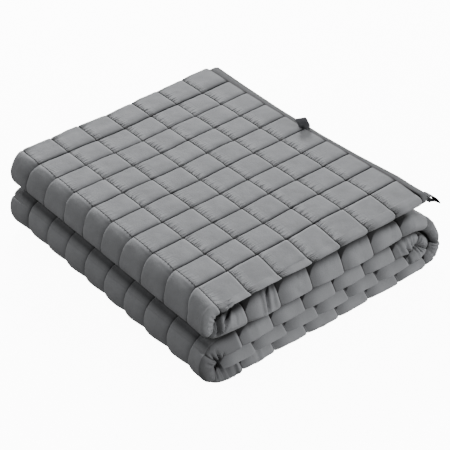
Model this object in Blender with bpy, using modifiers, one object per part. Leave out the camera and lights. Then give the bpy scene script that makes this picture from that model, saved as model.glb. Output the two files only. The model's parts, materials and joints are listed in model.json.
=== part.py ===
"""A weighted blanket, folded in thirds along its length and then rolled over into five layers.

The blanket is one quilted solid. A strip, which is the blanket folded in thirds, is carried along a
path in the X-Z plane: five level layers joined by four turns. Cover A is the face of the strip that
ends up on top, and cover B is the other one. Quilting lines are numbered along the strip from the hem
on top (line 0) to the hem at the inner end (line 40), and across it from the back (line 1) to the
front (line 9). Sizes are in metres, and +Z is up. The hem that shows on top faces +X.
"""

import math
from typing import NamedTuple

import bpy
import numpy as np

# Driving sizes
CELL = 0.0508  # one quilted square, line to line
RIBBON_WIDTH = 0.017
RIBBON_THICKNESS = 0.0012
RIBBON_GAP = 0.0003  # between a ribbon's ends and the hem that they are sewn to

# Quilting
PUFF_POWER = 3.0  # how square-shouldered a pillow is
PRESSED = 1.3  # a pillow that is pressed flat reaches its full height this much sooner
HIDDEN_DEPTH = 0.0025  # how far a quilting line is drawn in on a cover that doesn't show
CELL_STEPS = (0.0, 0.2, 0.5, 0.8)  # where a square has its points, as shares of its side
EDGE_STEPS = (0.0, 0.35, 0.7)  # the same in the outermost squares, from the fold inwards
LAST_ACROSS = 10  # the folded edges stand for lines 0 and 10 across the strip

# Folded edges of the strip, front and back
EDGE_REACH = 0.0125  # how far the rounding stands out on a quilting line
EDGE_BULGE = 0.0045  # how much further it stands out between two lines
EDGE_PARTS = 5
EDGE_WAVES = ((0.0011, 0.9, 0.4), (0.0007, 2.3, 1.7))  # its unevenness: size, turns per square, start

HEM_WIDTH = 0.0115


class Layer(NamedTuple):
    """A level stretch of the strip. x is in squares from the top hem's line, heights are in metres."""

    middle: float
    half_a: float
    half_b: float
    x_start: float
    x_end: float
    line_start: float
    line_end: float


class Turn(NamedTuple):
    """The turn after a layer: how far it reaches (squares), half the strip at its crown, its steps."""

    reach: float
    half_a: float
    half_b: float
    steps: int


LAYERS = (
    Layer(0.1215, 0.0165, 0.0125, 0.00, -7.04, 0.00, 7.04),
    Layer(0.0915, 0.0155, 0.0155, -7.04, -0.42, 8.24, 14.35),
    Layer(0.0105, 0.0105, 0.0105, 0.12, -7.00, 17.03, 23.48),
    Layer(0.0590, 0.0150, 0.0150, -7.00, -0.40, 25.52, 31.63),
    Layer(0.0325, 0.0095, 0.0095, -0.10, -6.90, 33.55, 40.00),
)
TURNS = (
    Turn(-0.300, 0.0140, 0.0135, 7),
    Turn(0.720, 0.0095, 0.0095, 6),
    Turn(-0.500, 0.0115, 0.0125, 6),
    Turn(0.360, 0.0100, 0.0105, 6),
)


class Shown(NamedTuple):
    """A stretch of a cover that shows, between two quilting lines, and how deep its quilting is."""

    first: float
    last: float
    depth: float
    pressed: bool


SHOWN_A = (Shown(-1, 7, 0.0040, False), Shown(7, 8, 0.0050, False))
SHOWN_B = (
    Shown(14, 17, 0.0040, False),
    Shown(17, 24, 0.0025, True),
    Shown(24, 26, 0.0050, False),
)


class Across(NamedTuple):
    """Where the strip lies at a quilting line, in squares: back fold, lines 1 and 9, front fold."""

    line: float
    back: float
    line_1: float
    line_9: float
    front: float


ACROSS = (
    Across(0.0, 0.06, -1.00, -9.00, -9.85),
    Across(4.0, -0.05, -1.00, -9.00, -9.87),
    Across(7.0, -0.09, -1.00, -9.00, -9.87),
    Across(7.7, -0.12, -1.02, -9.38, -9.87),
    Across(9.0, 0.12, -0.80, -9.33, -9.90),
    Across(14.0, 0.12, -0.80, -9.33, -9.88),
    Across(17.0, 0.12, -0.80, -9.33, -9.79),
    Across(23.0, 0.12, -0.80, -9.33, -9.79),
    Across(25.0, 0.15, -0.80, -9.33, -9.87),
    Across(32.0, 0.12, -0.80, -9.33, -9.84),
    Across(40.0, 0.12, -0.80, -9.33, -9.80),
)


class HemSway(NamedTuple):
    """How far the hem on top swings out towards +X, at a place across the strip, all in squares."""

    y: float
    out: float


HEM_SWAY = (
    HemSway(-9.5, 0.00),
    HemSway(-8.8, 0.03),
    HemSway(-7.2, -0.05),
    HemSway(-5.6, -0.08),
    HemSway(-3.5, -0.03),
    HemSway(-1.6, 0.08),
    HemSway(0.2, 0.21),
)
SWAY_AT_LINE_0 = 0.35  # share of the hem's sway that its quilting line follows; it is gone by line 1


class HemRow(NamedTuple):
    """A row of points in a hem: its place as a share of the hem's width, and its half thicknesses."""

    share: float
    half_a: float
    half_b: float


TOP_HEM = (
    HemRow(1.00, 0.0108, 0.0050),
    HemRow(0.85, 0.0128, 0.0070),
    HemRow(0.55, 0.0124, 0.0078),
    HemRow(0.20, 0.0128, 0.0088),
    HemRow(0.00, 0.0123, 0.0095),
)
INNER_HEM = (HemRow(0.00, 0.0070, 0.0070), HemRow(0.50, 0.0072, 0.0072), HemRow(1.00, 0.0050, 0.0050))


class Loop(NamedTuple):
    """A ribbon loop, both of whose ends are sewn to one face of the hem."""

    name: str
    foot: tuple  # x and y in squares, z in metres
    out: tuple  # which way the hem faces there
    aside: tuple  # along that face, at right angles to Y
    tip: tuple  # from its foot to its tip, in metres
    spread: float  # half the distance between its strands, before they narrow
    waist: float  # how close together its ends are, as a share of that
    twist: float  # of the ribbon between its foot and its upper half, in degrees


LOOPS = (
    Loop(
        "ribbon_loop_edge", (-0.02, -5.03, 0.1346), (0, 0, 1), (1, 0, 0), (-0.0063, 0, 0.0215), 0.0065, 0.35, 88.0
    ),
    Loop(
        "ribbon_loop_corner", (0.2264, -9.93, 0.1235), (1, 0, 0), (0, 0, 1), (0.0213, 0, -0.0157), 0.0049, 1.0, 0.0
    ),
)
LOOP_STEPS = 18


def smooth(share):
    """0 to 1, with no slope at either end."""
    share = min(max(share, 0.0), 1.0)
    return share * share * (3 - 2 * share)


def pillow(position):
    """0 on a quilting line, 1 midway between two."""
    return 1 - np.abs(2 * (position % 1) - 1) ** PUFF_POWER


def middle_of(line):
    """(x, z, half_a, half_b) of the strip's middle at this quilting line, in metres."""
    index = next((i for i, layer in enumerate(LAYERS) if line <= layer.line_end), len(LAYERS) - 1)
    layer = LAYERS[index]
    if line >= layer.line_start or index == 0:
        share = (line - layer.line_start) / (layer.line_end - layer.line_start)
        x = layer.x_start + share * (layer.x_end - layer.x_start)
        return x * CELL, layer.middle, layer.half_a, layer.half_b
    before, turn = LAYERS[index - 1], TURNS[index - 1]
    share = (line - before.line_end) / (layer.line_start - before.line_end)
    fallen = (1 - math.cos(math.pi * share)) / 2
    x = before.x_end + (layer.x_start - before.x_end) * fallen + turn.reach * math.sin(math.pi * share)
    z = before.middle + (layer.middle - before.middle) * fallen
    beside = before if share < 0.5 else layer
    crown = smooth(1 - abs(2 * share - 1))
    half_a = beside.half_a + (turn.half_a - beside.half_a) * crown
    half_b = beside.half_b + (turn.half_b - beside.half_b) * crown
    return x * CELL, z, half_a, half_b


def outward_at(line):
    """Cover A's outward direction in the X-Z plane."""
    nudge = 0.001
    before, after = middle_of(line - nudge), middle_of(line + nudge)
    along = np.array([after[0] - before[0], after[1] - before[1]])
    along /= np.linalg.norm(along)
    return np.array([along[1], -along[0]])


def cover_profile(line, half, shown, last_line):
    """(places across, heights) of one cover: all its points where it shows, else its two ends."""
    on_hem = line < 0 or line > last_line
    puffed = 0.0 if on_hem else float(pillow(line))
    stretch = next((s for s in shown if s.first <= line < s.last or line == s.last == shown[-1].last), None)
    if stretch is None:
        depth = 0.0 if on_hem else HIDDEN_DEPTH
        return np.array([0.0, LAST_ACROSS]), np.full(2, half - depth * (1 - puffed))
    inner = [k + step for k in range(1, LAST_ACROSS - 1) for step in CELL_STEPS]
    ends = list(EDGE_STEPS)
    places = np.array(ends + inner + [LAST_ACROSS - 1.0] + [LAST_ACROSS - step for step in ends[::-1]])
    raised = pillow(places)
    raised = np.where(places < 1, 1 - places**PUFF_POWER, raised)
    from_front = np.clip(LAST_ACROSS - places, 0, None)
    raised = np.where(from_front < 1, 1 - from_front**PUFF_POWER, raised) * puffed
    if stretch.pressed:
        raised = np.minimum(PRESSED * raised, 1.0)
    depth = 0.0 if on_hem else stretch.depth
    return places, half - depth * (1 - raised)


def ring_at(line, halves=None):
    """The strip's section at this quilting line: cover A, front fold, cover B, back fold, as points."""
    x, z, half_a, half_b = middle_of(line)
    if halves:
        half_a, half_b = halves
    outward = outward_at(line)
    last_line = LAYERS[-1].line_end
    table = np.array(ACROSS)
    spots = [np.interp(line, table[:, 0], table[:, column]) for column in range(1, 5)]
    wave = sum(size * math.sin(rate * line + start) for size, rate, start in EDGE_WAVES)
    puffed = 0.0 if line < 0 or line > last_line else float(pillow(line))
    reach = EDGE_REACH + EDGE_BULGE * puffed

    sway_share = np.interp(line, (-HEM_WIDTH / CELL, 0, 1), (1, SWAY_AT_LINE_0, 0))

    def placed(y, height):
        swayed = np.interp(y, *(np.array(HEM_SWAY).T * CELL)) * sway_share
        return np.stack([x + swayed + outward[0] * height, y, z + outward[1] * height], axis=-1)

    def cover(half, shown, side):
        places, heights = cover_profile(line, half, shown, last_line)
        y = np.interp(places, (0, 1, LAST_ACROSS - 1, LAST_ACROSS), spots) * CELL + wave
        return placed(y, side * heights)

    def fold(start, end, direction):
        """The rounding between two points that face each other across the strip."""
        turned = np.linspace(0, math.pi, EDGE_PARTS + 1)[1:-1, None]
        out = np.array([0.0, direction, 0.0]) * reach
        return (start + end) / 2 + (start - end) / 2 * np.cos(turned) + out * np.sin(turned)

    cover_a = cover(half_a, SHOWN_A, 1)
    cover_b = cover(half_b, SHOWN_B, -1)[::-1]
    front = fold(cover_a[-1], cover_b[0], -1)
    back = fold(cover_b[-1], cover_a[0], 1)
    return [cover_a, front, cover_b, back]


def all_rings():
    """Every section along the strip, from the hem on top to the hem at the inner end."""
    last_line = int(LAYERS[-1].line_end)
    rings = [ring_at(-row.share * HEM_WIDTH / CELL, (row.half_a, row.half_b)) for row in TOP_HEM[:-1]]
    rings.append(ring_at(0.0, (TOP_HEM[-1].half_a + SHOWN_A[0].depth, TOP_HEM[-1].half_b)))
    for cell in range(last_line):
        turn = next(
            (
                turn
                for before, after, turn in zip(LAYERS, LAYERS[1:], TURNS)
                if before.line_end < cell + 0.5 < after.line_start
            ),
            None,
        )
        steps = CELL_STEPS if turn is None else [step / turn.steps for step in range(turn.steps)]
        rings += [ring_at(cell + step) for step in steps if cell + step > 0]
    rings += [ring_at(last_line + row.share * HEM_WIDTH / CELL, (row.half_a, row.half_b)) for row in INNER_HEM]
    return rings


def sewn_faces(first, second):
    """Faces between two runs of point numbers: squares, or one many-sided face if they differ."""
    if len(first) == len(second):
        return [(a, b, c, d) for a, b, c, d in zip(first, second, second[1:], first[1:])]
    return [tuple(first[::-1]) + tuple(second)]


def build_quilt(material, home):
    """The whole quilt as one closed mesh."""
    points, faces, numbered = [], [], []
    for ring in all_rings():
        numbers = []
        for band in ring:
            numbers.append(list(range(len(points), len(points) + len(band))))
            points += band.tolist()
        cover_a, front, cover_b, back = numbers
        numbered.append(
            [
                cover_a,
                [cover_a[-1]] + front + [cover_b[0]],
                cover_b,
                [cover_b[-1]] + back + [cover_a[0]],
            ]
        )
    for ring, following in zip(numbered, numbered[1:]):
        for band, next_band in zip(ring, following):
            faces += sewn_faces(band, next_band)
    for ring, order in ((numbered[0], 1), (numbered[-1], -1)):
        faces.append(tuple([number for band in ring for number in band[:-1]][::order]))
    mesh = bpy.data.meshes.new("quilt")
    mesh.from_pydata(points, [], faces)
    mesh.polygons.foreach_set("use_smooth", [True] * len(mesh.polygons))
    mesh.materials.append(material)
    quilt = bpy.data.objects.new("quilt", mesh)
    home.objects.link(quilt)
    return quilt


def build_loop(loop, material, home):
    """A ribbon loop: both of its ends are at the hem, and it is open in the middle."""
    width_way, aside = np.array([0.0, 1.0, 0.0]), np.array(loop.aside)
    out, tip = np.array(loop.out), np.array(loop.tip)
    foot = np.array([loop.foot[0] * CELL, loop.foot[1] * CELL, loop.foot[2]]) + RIBBON_GAP * out
    away = out * (tip @ out)
    leaning = tip - away
    points = []
    for step in range(LOOP_STEPS + 1):
        angle = math.pi * step / LOOP_STEPS
        up = math.sin(angle)
        sideways = -loop.spread * math.cos(angle) * (loop.waist + (1 - loop.waist) * up)
        twist = math.radians(loop.twist) * smooth(2.5 * up)
        across = aside * math.cos(twist) + width_way * math.sin(twist)
        ribbon_way = width_way * math.cos(twist) - aside * math.sin(twist)
        centre = foot + up * away + up**2 * leaning + across * sideways
        points += [centre - ribbon_way * RIBBON_WIDTH / 2, centre + ribbon_way * RIBBON_WIDTH / 2]
    faces = [(2 * k, 2 * k + 1, 2 * k + 3, 2 * k + 2) for k in range(LOOP_STEPS)]
    mesh = bpy.data.meshes.new(loop.name)
    mesh.from_pydata([tuple(point) for point in points], [], faces)
    mesh.materials.append(material)
    ribbon = bpy.data.objects.new(loop.name, mesh)
    home.objects.link(ribbon)
    thick = ribbon.modifiers.new("thickness", "SOLIDIFY")
    thick.thickness = RIBBON_THICKNESS
    thick.offset = 0
    return ribbon


def cloth_material(name, colour, roughness):
    """A plain cloth finish."""
    material = bpy.data.materials.new(name)
    material.use_nodes = True
    shader = material.node_tree.nodes["Principled BSDF"]
    shader.inputs["Base Color"].default_value = (*colour, 1)
    shader.inputs["Roughness"].default_value = roughness
    shader.inputs["Metallic"].default_value = 0
    return material


def centre_on_floor(pieces, quilt):
    """Moves every point so that the middle of the quilt's underside is the origin."""
    low = np.array([vertex.co for vertex in quilt.data.vertices]).min(axis=0)
    high = np.array([vertex.co for vertex in quilt.data.vertices]).max(axis=0)
    middle = (low + high) / 2
    for piece in pieces:
        for vertex in piece.data.vertices:
            vertex.co.x -= middle[0]
            vertex.co.y -= middle[1]


def main():
    for obj in list(bpy.data.objects):
        bpy.data.objects.remove(obj, do_unlink=True)
    home = bpy.data.collections.new("folded_weighted_blanket")
    bpy.context.scene.collection.children.link(home)
    cotton = cloth_material("cotton_shell", (0.235, 0.240, 0.250), 0.85)
    satin = cloth_material("ribbon", (0.035, 0.035, 0.038), 0.6)
    quilt = build_quilt(cotton, home)
    loops = [build_loop(loop, satin, home) for loop in LOOPS]
    centre_on_floor([quilt, *loops], quilt)


main()
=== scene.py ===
"""Looks of the folded weighted blanket: its quilted cotton, its ribbon loops, and the studio around it.

The blanket is a strip, folded in thirds, that is carried along a path of five level layers and four
turns. Cover A is the face of the strip that ends up on top, and cover B is the other one. Quilting lines
are numbered along the strip from the hem on top (line 0) to the inner hem (line 40), and places across
it run from the back fold (0) to the front fold (10). Sizes are in metres unless they say squares.
"""

import json
import logging
import math
from dataclasses import dataclass, field
from enum import Enum
from typing import NamedTuple

import bpy
import numpy as np
from mathutils import Matrix

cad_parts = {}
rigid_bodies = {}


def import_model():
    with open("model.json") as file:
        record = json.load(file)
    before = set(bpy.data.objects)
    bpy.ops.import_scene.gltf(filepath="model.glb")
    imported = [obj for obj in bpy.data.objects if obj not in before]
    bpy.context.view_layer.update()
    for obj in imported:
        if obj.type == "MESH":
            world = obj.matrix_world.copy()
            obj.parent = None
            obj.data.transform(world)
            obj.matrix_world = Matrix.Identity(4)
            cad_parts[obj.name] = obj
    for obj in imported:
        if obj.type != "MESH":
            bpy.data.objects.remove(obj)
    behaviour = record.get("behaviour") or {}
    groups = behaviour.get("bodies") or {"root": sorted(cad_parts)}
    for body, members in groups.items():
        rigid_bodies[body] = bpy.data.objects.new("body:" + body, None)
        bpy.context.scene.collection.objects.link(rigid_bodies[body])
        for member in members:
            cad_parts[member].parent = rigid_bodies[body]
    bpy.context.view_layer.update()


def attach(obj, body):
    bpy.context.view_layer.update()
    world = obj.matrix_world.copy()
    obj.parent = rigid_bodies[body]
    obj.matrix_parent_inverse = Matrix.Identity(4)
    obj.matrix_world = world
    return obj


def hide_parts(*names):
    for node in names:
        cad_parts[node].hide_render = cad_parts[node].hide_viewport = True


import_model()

log = logging.getLogger("weighted_blanket")
Array = np.ndarray
Pair = tuple[float, float]
Triple = tuple[float, float, float]
Socket = bpy.types.NodeSocket
Powers = tuple[float | Array, float | Array]

CELL = 0.0508  # one quilted square, line to line
MIDDLE = (-0.17722, -0.24783)  # of the quilt's outline, measured from line 0 and the back fold
LAST_LINE = 40
LAST_PLACE = 10
HEM_OUTER = -0.226  # the outer edge of the hem on top, as a line number
BODY = "root"

# Between which lines each of these sets in, and between which it ends.
REVERSED = (((7.4, 7.9), (15.4, 15.9)), ((24.3, 24.8), (32.3, 32.8)))  # the strip runs towards +X
UPPER_ROLL = ((6.9, 7.1), (8.0, 8.1))
LOWER_ROLL = ((22.9, 23.2), (25.8, 26.1))
PAST_LOWER_ROLL = (23.5, 23.9)  # sets in and goes on to the inner hem
A_ENDS = (7.75, 8.0)  # cover A's relief
A_HIDDEN = (7.98, 8.22)  # cover A goes under the layer above
B_RELIEF = ((14.0, 14.2), (25.75, 26.0))
B_SEEN = ((14.2, 14.6), (24.85, 25.7))
PUCKERED = ((6.0, 6.05, 6.99, 7.0), (1.0, 0.45, 0.45, 0.0))  # how much the seams pucker, at some lines

FILLING_SEED, COARSE_SEED, FINE_SEED, FRONT_SEED, BACK_SEED = 11, 5, 6, 21, 22


class Slot(Enum):
    """The record's material slots."""

    COTTON = "cotton_shell"
    RIBBON = "ribbon"


class Cover(Enum):
    """Which face of the strip, and the sign of its outward direction."""

    A = 1
    B = -1


class Side(Enum):
    """Which folded edge of the strip, and the sign of its outward direction along Y."""

    FRONT = -1
    BACK = 1


def smooth(share: Array) -> Array:
    """0 to 1 with no slope at either end: s^2 (3 - 2s)."""
    share = np.clip(share, 0.0, 1.0)
    return share * share * (3 - 2 * share)


def rise(lines: Array, start: float, end: float) -> Array:
    """0 before start and 1 after end, smoothly between them."""
    return smooth((lines - start) / (end - start))


def between(lines: Array, start: Pair, end: Pair) -> Array:
    """1 from the rise that start gives to the one that end gives, and 0 outside them."""
    return rise(lines, *start) * (1 - rise(lines, *end))


def bell(distance: Array, width: float) -> Array:
    """1 at no distance, falling as exp(-(d / width)^2)."""
    return np.exp(-((distance / width) ** 2))


def scatter_noise(x: Array, y: Array, seed: int) -> Array:
    """Smooth noise from -1 to 1.

    Random numbers stand at whole-number places, and s^2 (3 - 2s) blends between the four around a point.

    Args:
        x: first coordinate, in steps of the noise.
        y: second coordinate, broadcast with the first.
        seed: which set of random numbers.

    Returns:
        The noise at each point.
    """
    size = 128
    table = np.random.default_rng(seed).uniform(-1, 1, (size, size))
    x, y = np.broadcast_arrays(x, y)
    column, row = np.floor(x).astype(int), np.floor(y).astype(int)
    along, up = smooth(x - column), smooth(y - row)

    def corner(i: int, j: int) -> Array:
        """The random number at one of the four places around each point."""
        return table[(column + i) % size, (row + j) % size]

    low = corner(0, 0) * (1 - along) + corner(1, 0) * along
    high = corner(0, 1) * (1 - along) + corner(1, 1) * along
    return low * (1 - up) + high * up


def crowded(count: int, crowding: float) -> Array:
    """Places from 0 up to 1, closer together near both ends: s - c sin(2 pi s) / (2 pi)."""
    share = np.arange(count) / count
    return share - crowding * np.sin(2 * math.pi * share) / (2 * math.pi)


class Layer(NamedTuple):
    """A level stretch of the strip: heights in metres, x in squares from the top hem's line."""

    middle: float
    half_a: float
    half_b: float
    x_start: float
    x_end: float
    line_start: float
    line_end: float


class Turn(NamedTuple):
    """The turn after a layer: its reach (squares), half the strip at its crown, and how low its nose is."""

    reach: float
    half_a: float
    half_b: float
    droop: float = 1.0


@dataclass(frozen=True)
class StripPath:
    """The path of the folded strip's middle in the X-Z plane."""

    layers: tuple[Layer, ...] = (
        Layer(0.1215, 0.0165, 0.0125, 0.00, -7.04, 0.00, 7.04),
        Layer(0.0915, 0.0155, 0.0155, -7.04, -0.42, 8.24, 14.35),
        Layer(0.0105, 0.0105, 0.0105, 0.12, -7.00, 17.03, 23.48),
        Layer(0.0590, 0.0150, 0.0150, -7.00, -0.40, 25.52, 31.63),
        Layer(0.0325, 0.0095, 0.0095, -0.10, -7.12, 33.55, 40.00),
    )
    turns: tuple[Turn, ...] = (
        Turn(-0.325, 0.0075, 0.0135, 1.25),
        Turn(0.720, 0.0095, 0.0095),
        Turn(-0.500, 0.0115, 0.0125),
        Turn(0.360, 0.0100, 0.0105),
    )

    def middle(self, lines: Array) -> tuple[Array, Array, Array, Array]:
        """The strip's middle at these quilting lines.

        A layer is straight. Along a turn, f = (1 - cos(pi s)) / 2 blends both ends, x gains
        reach * sin(pi s^droop), and the half thickness goes over to the crown's in the middle.

        Args:
            lines: quilting line numbers.

        Returns:
            x, z, and half the strip's thickness on the sides of cover A and cover B, in metres.
        """
        x, z, half_a, half_b = (np.zeros_like(lines) for _ in range(4))
        for index, layer in enumerate(self.layers):
            low = -np.inf if index == 0 else layer.line_start
            high = np.inf if index == len(self.layers) - 1 else layer.line_end
            here = (lines >= low) & (lines <= high)
            share = (lines[here] - layer.line_start) / (layer.line_end - layer.line_start)
            x[here] = layer.x_start + share * (layer.x_end - layer.x_start)
            z[here], half_a[here], half_b[here] = layer.middle, layer.half_a, layer.half_b
        for before, after, turn in zip(self.layers, self.layers[1:], self.turns):
            here = (lines > before.line_end) & (lines < after.line_start)
            share = (lines[here] - before.line_end) / (after.line_start - before.line_end)
            fallen = (1 - np.cos(math.pi * share)) / 2
            crown = smooth(1 - np.abs(2 * share - 1))
            x[here] = before.x_end + (after.x_start - before.x_end) * fallen
            x[here] += turn.reach * np.sin(math.pi * share**turn.droop)
            z[here] = before.middle + (after.middle - before.middle) * fallen
            beside_a = np.where(share < 0.5, before.half_a, after.half_a)
            beside_b = np.where(share < 0.5, before.half_b, after.half_b)
            half_a[here] = beside_a + (turn.half_a - beside_a) * crown
            half_b[here] = beside_b + (turn.half_b - beside_b) * crown
        return x * CELL, z, half_a, half_b

    def outward(self, lines: Array) -> Array:
        """Cover A's outward direction: the path's own direction, turned by a quarter.

        Args:
            lines: quilting line numbers, (n,).

        Returns:
            The direction as (x, z), (n, 2).
        """
        nudge = 0.001
        before, after = self.middle(lines - nudge), self.middle(lines + nudge)
        along = np.stack([after[0] - before[0], after[1] - before[1]], axis=-1)
        along /= np.linalg.norm(along, axis=-1, keepdims=True)
        return np.stack([along[:, 1], -along[:, 0]], axis=-1)


# Where the eleven lines that run along the strip lie, in squares from the back, at some quilting lines.
ACROSS_LINES = (0.0, 4.0, 7.0, 7.7, 9.0, 14.0, 17.0, 23.0, 25.0, 27.0, 32.0, 40.0)
ACROSS = (
    (0.06, -1.00, -2.00, -3.00, -4.00, -5.00, -6.00, -7.00, -8.00, -9.00, -9.85),
    (-0.05, -1.00, -2.00, -3.00, -4.00, -5.00, -6.00, -7.00, -8.00, -9.00, -9.87),
    (-0.09, -0.90, -1.92, -2.96, -3.98, -5.00, -6.02, -7.04, -8.06, -9.06, -9.87),
    (0.06, -0.72, -1.77, -2.92, -3.98, -4.95, -5.92, -6.98, -8.10, -9.20, -9.87),
    (0.12, -0.80, -1.87, -2.93, -4.00, -5.07, -6.13, -7.20, -8.26, -9.33, -9.90),
    (0.12, -0.80, -1.87, -2.93, -4.00, -5.07, -6.13, -7.20, -8.26, -9.33, -9.88),
    (0.12, -0.80, -1.87, -2.93, -4.00, -5.07, -6.13, -7.20, -8.26, -9.33, -9.79),
    (0.12, -0.80, -1.87, -2.93, -4.00, -5.07, -6.13, -7.20, -8.26, -9.33, -9.79),
    (0.28, -0.70, -1.86, -2.94, -4.01, -5.09, -6.13, -7.13, -8.24, -9.32, -9.87),
    (0.15, -0.80, -1.87, -2.93, -4.00, -5.07, -6.13, -7.20, -8.26, -9.33, -9.87),
    (0.12, -0.80, -1.87, -2.93, -4.00, -5.07, -6.13, -7.20, -8.26, -9.33, -9.84),
    (0.12, -0.80, -1.87, -2.93, -4.00, -5.07, -6.13, -7.20, -8.26, -9.33, -9.80),
)
# How far the hem on top swings out towards +X, in squares, at places across the strip in squares.
SWAY_AT = (-9.5, -8.8, -7.2, -5.6, -3.5, -1.6, 0.2)
SWAY_OUT = (0.00, 0.03, -0.05, -0.08, -0.03, 0.08, 0.21)
SWAY_AT_LINE_0 = 0.35  # share of it that line 0 follows; it is gone by line 1


@dataclass(frozen=True)
class Spread:
    """Where the strip lies across its width."""

    # Slow sines that shift the edges: size in metres, angle gained from line to line, and angle at line 0.
    wave: tuple[Triple, ...] = ((0.0011, 0.9, 0.4), (0.0007, 2.3, 1.7))

    def y_of(self, lines: Array, places: Array) -> Array:
        """Y of each place at each line.

        The table's rows are blended along the strip by s^2 (3 - 2s), which bends the lines that run
        along it into soft S-curves, and its columns are blended evenly. The sines come on top.

        Args:
            lines: quilting line numbers, (n,).
            places: places across, from 0 to 10, (m,).

        Returns:
            Y in metres, (n, m).
        """
        rows, table = np.array(ACROSS_LINES), np.array(ACROSS)
        row = np.clip(np.searchsorted(rows, lines, "right") - 1, 0, len(rows) - 2)
        blend = smooth((lines - rows[row]) / (rows[row + 1] - rows[row]))[:, None]
        spots = table[row] * (1 - blend) + table[row + 1] * blend
        column = np.clip(np.floor(places).astype(int), 0, LAST_PLACE - 1)
        share = places - column
        y = spots[:, column] * (1 - share) + spots[:, column + 1] * share
        wave = sum(size * np.sin(rate * lines + start) for size, rate, start in self.wave)
        return y * CELL + wave[:, None]

    def sway(self, lines: Array, y: Array) -> Array:
        """How far each point of the top hem's side swings towards +X, in metres."""
        share = np.interp(lines, (HEM_OUTER, 0, 1), (1, SWAY_AT_LINE_0, 0))
        return np.interp(y, np.array(SWAY_AT) * CELL, np.array(SWAY_OUT) * CELL) * share[:, None]


class SeamDepth(NamedTuple):
    """How deep the seams are drawn in at one quilting line, in metres."""

    line: float
    across: float  # those that run across the strip, on a cover
    at_edge: float  # the same ones, at a folded edge
    along: float  # those that run along the strip


SEAM_DEPTHS = (
    SeamDepth(0.0, 0.0024, 0.0018, 0.0046),
    SeamDepth(6.8, 0.0022, 0.0018, 0.0050),
    SeamDepth(7.0, 0.0006, 0.0016, 0.0056),
    SeamDepth(7.12, 0.0006, 0.0020, 0.0110),
    SeamDepth(7.5, 0.0020, 0.0030, 0.0095),
    SeamDepth(8.0, 0.0040, 0.0035, 0.0034),
    SeamDepth(14.0, 0.0040, 0.0035, 0.0050),
    SeamDepth(17.0, 0.0035, 0.0040, 0.0040),
    SeamDepth(17.6, 0.0022, 0.0035, 0.0016),
    SeamDepth(23.8, 0.0016, 0.0035, 0.0014),
    SeamDepth(24.3, 0.0012, 0.0035, 0.0085),
    SeamDepth(26.0, 0.0012, 0.0035, 0.0060),
)


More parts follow.
